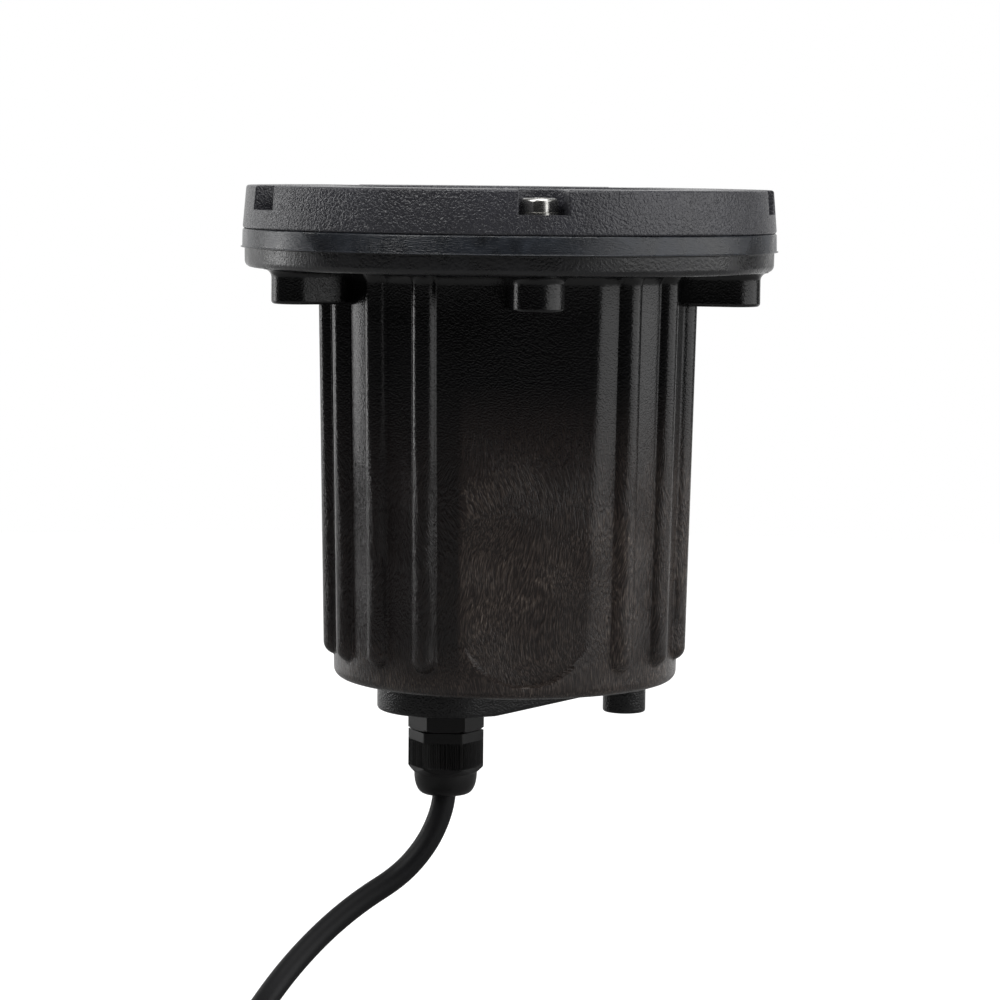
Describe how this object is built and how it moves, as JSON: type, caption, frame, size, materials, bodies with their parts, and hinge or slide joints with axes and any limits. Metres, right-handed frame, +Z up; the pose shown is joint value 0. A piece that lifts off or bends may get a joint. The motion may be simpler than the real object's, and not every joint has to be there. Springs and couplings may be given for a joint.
{
  "type": "in ground well light",
  "caption": "Ribbed round housing hung by its flange, with a bolted cover ring and flat glass, a reflector lamp that turns and tilts inside, and a cable through a gland below.",
  "frame": {"origin": "centre of the flange's underside, where the light hangs on the rim of its hole", "axes": "+Z up through the glass, -Y through the middle of the front panel and the first cover screw, +X to the right seen from the front"},
  "size_m": [0.1932, 0.2371, 0.2968],
  "materials": {
    "housing_composite": "semi-gloss black glass-filled moulding with faint flow marks",
    "cover_coating": "black coating with a fine leathery grain",
    "glass": "clear, polished, flat",
    "gasket_rubber": "matt black silicone",
    "stainless": "bright stainless steel",
    "brass": "plain turned brass",
    "galvanised": "zinc-plated sheet",
    "lamp_casting": "satin die casting with a bright bowl",
    "lamp_lens": "clear moulded lens",
    "board": "white solder mask on aluminium",
    "phosphor": "yellow phosphor",
    "nickel": "nickel-plated",
    "dark_insulator": "black glassy insulator",
    "thermoset": "off-white heat-proof thermoset",
    "gland_nylon": "satin black nylon",
    "block_plastic": "natural nylon",
    "cable_rubber": "satin black rubber sheath",
    "core_sleeve": "smooth insulation",
    "copper": "bare copper strands",
    "tie_plastic": "black nylon"
  },
  "bodies": {
    "housing": {"housing_pot": "housing_composite", "housing_flange": "housing_composite", "screw_bosses": "housing_composite", "gland_pad": "housing_composite", "foot_stub": "housing_composite", "screw_inserts": "brass", "carrier_snap_ring": "stainless", "gland_washer": "gasket_rubber", "gland_body": "gland_nylon", "gland_seal": "gasket_rubber", "gland_locknut": "gland_nylon", "gland_nut": "gland_nylon", "terminal_block": "block_plastic", "terminal_clamps": "brass", "clamp_screws": "stainless", "block_screws": "stainless", "inner_cable": "cable_rubber", "inner_cores": "core_sleeve", "supply_cable": "cable_rubber", "cable_coil": "cable_rubber", "coil_tie": "tie_plastic", "cable_cores": "core_sleeve", "core_tips": "copper"},
    "cover": {"cover_ring": "cover_coating", "cover_glass": "glass", "glass_gasket": "gasket_rubber", "cover_screws": "stainless", "screw_washers": "stainless"},
    "carrier": {"lamp_carrier": "galvanised"},
    "lamp": {"pivot_screws": "stainless", "pivot_washers": "stainless", "lamp_retaining_ring": "stainless", "holder_screws": "stainless", "cap_contact": "brass", "holder_contact": "brass", "gimbal_band": "galvanised", "holder_strap": "galvanised", "holder_thread_sleeve": "galvanised", "lamp_body": "lamp_casting", "lamp_lens": "lamp_lens", "lamp_board": "board", "lamp_emitter": "phosphor", "lamp_cap": "nickel", "cap_insulator": "dark_insulator", "lampholder": "thermoset"}
  },
  "joints": [
    {"name": "lamp_pan", "type": "hinge", "parent": "housing", "child": "carrier", "pos_m": [0, 0, 0.004], "axis": [0, 0, 1], "range_deg": [-175, 175]},
    {"name": "lamp_tilt", "type": "hinge", "parent": "carrier", "child": "lamp", "pos_m": [0, 0, -0.008], "axis": [1, 0, 0], "range_deg": [-15, 15]},
    {"name": "cover_lift", "type": "slide", "parent": "housing", "child": "cover", "axis": [0, 0, 1], "range_m": [0, 0.06]}
  ]
}
